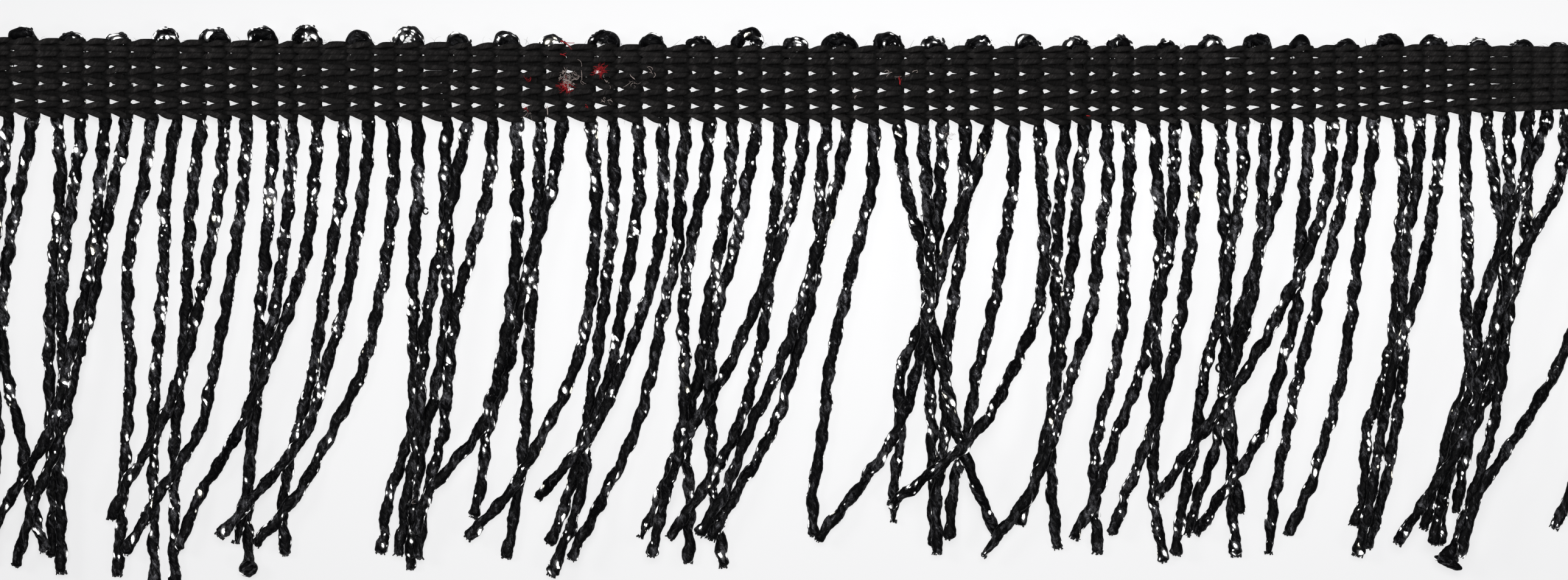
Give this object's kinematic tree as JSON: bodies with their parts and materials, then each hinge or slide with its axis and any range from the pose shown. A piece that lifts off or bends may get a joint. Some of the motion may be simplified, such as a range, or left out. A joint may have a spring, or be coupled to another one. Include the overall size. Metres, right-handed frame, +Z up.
{
  "type": "chainette fringe trim",
  "caption": "Cut length of black metallic chainette fringe lying flat: ribbed knitted heading tape with turned cord loops along its top and loose crossing cords below.",
  "frame": {"origin": "underside of the stitched strip behind the heading's lowest row, at the middle of the length, on the surface that the trim lies on", "axes": "+X along the trim, +Y from the cut tips towards the heading, +Z up off the surface, towards the trim's face"},
  "size_m": [0.2173, 0.072, 0.0063],
  "materials": {
    "metallic_cord": "black viscose and metallised film cord, glossy with small bright glints",
    "knitted_tape": "matt black spun yarn, warp knitted, slightly hairy"
  },
  "bodies": {
    "root": {"fringe": "metallic_cord", "heading": "knitted_tape"}
  },
  "joints": []
}
